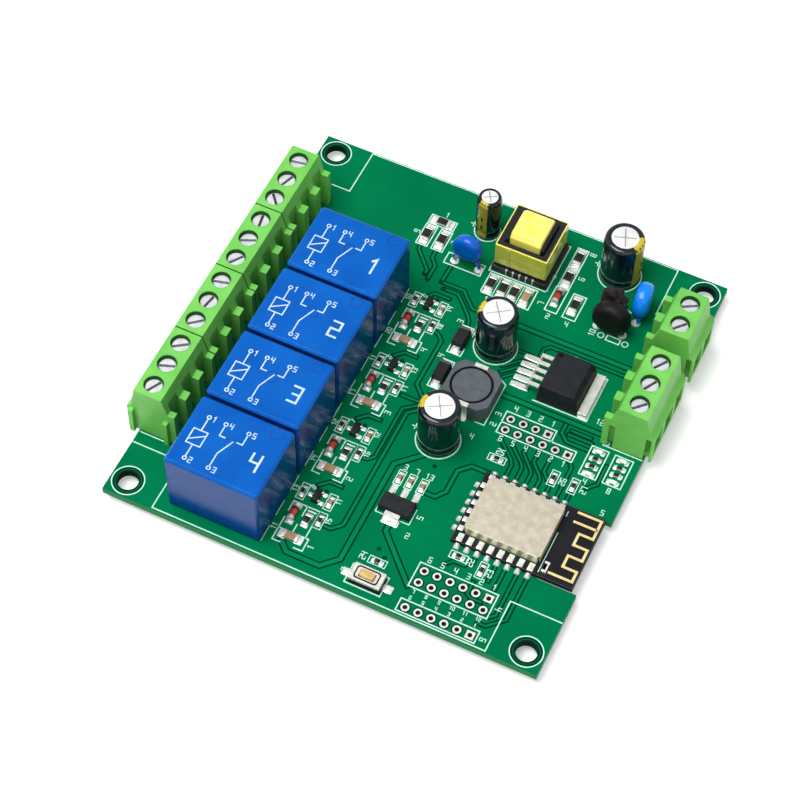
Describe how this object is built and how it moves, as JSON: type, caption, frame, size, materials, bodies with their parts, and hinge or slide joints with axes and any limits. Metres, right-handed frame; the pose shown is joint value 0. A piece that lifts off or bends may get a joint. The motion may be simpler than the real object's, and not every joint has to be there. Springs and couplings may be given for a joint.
{
  "type": "relay module board",
  "caption": "Square relay board with a row of power relays, screw terminals on both edges, a small mains supply, a wireless module and a reset button.",
  "frame": {"origin": "centre of the four mounting holes' rectangle, on the board's underside", "axes": "+Z out of the component side, +Y towards the edge with the mains supply, +X towards the edge with the supply terminals and the aerial"},
  "size_m": [0.0906, 0.093, 0.0188],
  "materials": {
    "black_epoxy": "satin",
    "black_plastic": "matte",
    "blue_epoxy": "gloss",
    "chip_black": "satin",
    "chip_tan": "satin",
    "ferrite": "matte",
    "glass_red": "gloss",
    "green_housing": "satin",
    "module_mask": "satin",
    "nickel": "satin",
    "plunger_tan": "satin",
    "relay_blue": "gloss",
    "shield_metal": "satin",
    "sleeve": "gloss",
    "solder_mask": "gloss",
    "switch_frame": "satin",
    "tin": "satin",
    "yellow_tape": "gloss"
  },
  "bodies": {
    "board": {"bulk_capacitor": "sleeve", "chip_capacitors": "chip_tan", "chip_resistors": "chip_black", "circuit_board": "solder_mask", "dc_terminal_housing": "green_housing", "disc_capacitor": "blue_epoxy", "glass_diodes": "glass_red", "input_capacitor": "sleeve", "lead_wires": "tin", "linear_regulator": "black_epoxy", "mains_terminal_housing": "green_housing", "middle_capacitor": "sleeve", "module_board": "module_mask", "module_chips": "black_epoxy", "module_shield": "shield_metal", "output_capacitor": "sleeve", "output_terminal_housing_1": "green_housing", "output_terminal_housing_2": "green_housing", "output_terminal_housing_3": "green_housing", "output_terminal_housing_4": "green_housing", "power_diodes": "black_epoxy", "power_inductor": "ferrite", "regulator_metalwork": "tin", "relay_bases": "black_plastic", "relay_case_1": "relay_blue", "relay_case_2": "relay_blue", "relay_case_3": "relay_blue", "relay_case_4": "relay_blue", "relay_pins": "tin", "reset_switch_body": "switch_frame", "small_leads": "tin", "switching_regulator": "black_epoxy", "terminal_contacts": "tin", "thermistor": "black_epoxy", "transformer_bobbin": "black_plastic", "transformer_core": "ferrite", "transformer_tape": "yellow_tape", "transformer_winding": "yellow_tape", "transistors": "black_epoxy", "varistor": "blue_epoxy", "wire_clamp_cages": "nickel"},
    "clamp_screw_1": {"clamp_screw_1": "nickel"},
    "clamp_screw_2": {"clamp_screw_2": "nickel"},
    "clamp_screw_3": {"clamp_screw_3": "nickel"},
    "clamp_screw_4": {"clamp_screw_4": "nickel"},
    "clamp_screw_5": {"clamp_screw_5": "nickel"},
    "clamp_screw_6": {"clamp_screw_6": "nickel"},
    "clamp_screw_7": {"clamp_screw_7": "nickel"},
    "clamp_screw_8": {"clamp_screw_8": "nickel"},
    "clamp_screw_9": {"clamp_screw_9": "nickel"},
    "clamp_screw_10": {"clamp_screw_10": "nickel"},
    "clamp_screw_11": {"clamp_screw_11": "nickel"},
    "clamp_screw_12": {"clamp_screw_12": "nickel"},
    "clamp_screw_13": {"clamp_screw_13": "nickel"},
    "clamp_screw_14": {"clamp_screw_14": "nickel"},
    "clamp_screw_15": {"clamp_screw_15": "nickel"},
    "clamp_screw_16": {"clamp_screw_16": "nickel"},
    "clamp_screw_17": {"clamp_screw_17": "nickel"},
    "reset_plunger": {"reset_plunger": "plunger_tan"}
  },
  "joints": [
    {"name": "clamp_screw_1_turn", "type": "hinge", "parent": "board", "child": "clamp_screw_1", "pos_m": [-0.04105, -0.01927, 0.0111], "axis": [0, 0, -1], "range_deg": [0, 1980]},
    {"name": "clamp_screw_2_turn", "type": "hinge", "parent": "board", "child": "clamp_screw_2", "pos_m": [-0.04105, -0.02435, 0.0111], "axis": [0, 0, -1], "range_deg": [0, 1980]},
    {"name": "clamp_screw_3_turn", "type": "hinge", "parent": "board", "child": "clamp_screw_3", "pos_m": [-0.04105, -0.02943, 0.0111], "axis": [0, 0, -1], "range_deg": [0, 1980]},
    {"name": "clamp_screw_4_turn", "type": "hinge", "parent": "board", "child": "clamp_screw_4", "pos_m": [-0.04105, -0.00322, 0.0111], "axis": [0, 0, -1], "range_deg": [0, 1980]},
    {"name": "clamp_screw_5_turn", "type": "hinge", "parent": "board", "child": "clamp_screw_5", "pos_m": [-0.04105, -0.0083, 0.0111], "axis": [0, 0, -1], "range_deg": [0, 1980]},
    {"name": "clamp_screw_6_turn", "type": "hinge", "parent": "board", "child": "clamp_screw_6", "pos_m": [-0.04105, -0.01338, 0.0111], "axis": [0, 0, -1], "range_deg": [0, 1980]},
    {"name": "clamp_screw_7_turn", "type": "hinge", "parent": "board", "child": "clamp_screw_7", "pos_m": [-0.04105, 0.01283, 0.0111], "axis": [0, 0, -1], "range_deg": [0, 1980]},
    {"name": "clamp_screw_8_turn", "type": "hinge", "parent": "board", "child": "clamp_screw_8", "pos_m": [-0.04105, 0.00775, 0.0111], "axis": [0, 0, -1], "range_deg": [0, 1980]},
    {"name": "clamp_screw_9_turn", "type": "hinge", "parent": "board", "child": "clamp_screw_9", "pos_m": [-0.04105, 0.00267, 0.0111], "axis": [0, 0, -1], "range_deg": [0, 1980]},
    {"name": "clamp_screw_10_turn", "type": "hinge", "parent": "board", "child": "clamp_screw_10", "pos_m": [-0.04105, 0.02888, 0.0111], "axis": [0, 0, -1], "range_deg": [0, 1980]},
    {"name": "clamp_screw_11_turn", "type": "hinge", "parent": "board", "child": "clamp_screw_11", "pos_m": [-0.04105, 0.0238, 0.0111], "axis": [0, 0, -1], "range_deg": [0, 1980]},
    {"name": "clamp_screw_12_turn", "type": "hinge", "parent": "board", "child": "clamp_screw_12", "pos_m": [-0.04105, 0.01872, 0.0111], "axis": [0, 0, -1], "range_deg": [0, 1980]},
    {"name": "clamp_screw_13_turn", "type": "hinge", "parent": "board", "child": "clamp_screw_13", "pos_m": [0.04025, 0.00562, 0.0111], "axis": [0, 0, -1], "range_deg": [0, 1980]},
    {"name": "clamp_screw_14_turn", "type": "hinge", "parent": "board", "child": "clamp_screw_14", "pos_m": [0.04025, 0.0107, 0.0111], "axis": [0, 0, -1], "range_deg": [0, 1980]},
    {"name": "clamp_screw_15_turn", "type": "hinge", "parent": "board", "child": "clamp_screw_15", "pos_m": [0.04025, 0.01578, 0.0111], "axis": [0, 0, -1], "range_deg": [0, 1980]},
    {"name": "clamp_screw_16_turn", "type": "hinge", "parent": "board", "child": "clamp_screw_16", "pos_m": [0.04025, 0.02541, 0.0111], "axis": [0, 0, -1], "range_deg": [0, 1980]},
    {"name": "clamp_screw_17_turn", "type": "hinge", "parent": "board", "child": "clamp_screw_17", "pos_m": [0.04025, 0.03049, 0.0111], "axis": [0, 0, -1], "range_deg": [0, 1980]},
    {"name": "reset_press", "type": "slide", "parent": "board", "child": "reset_plunger", "axis": [0, 0, -1], "range_m": [0, 0.00025], "stiffness_N_per_m": 4000, "springref_m": -0.0001}
  ]
}
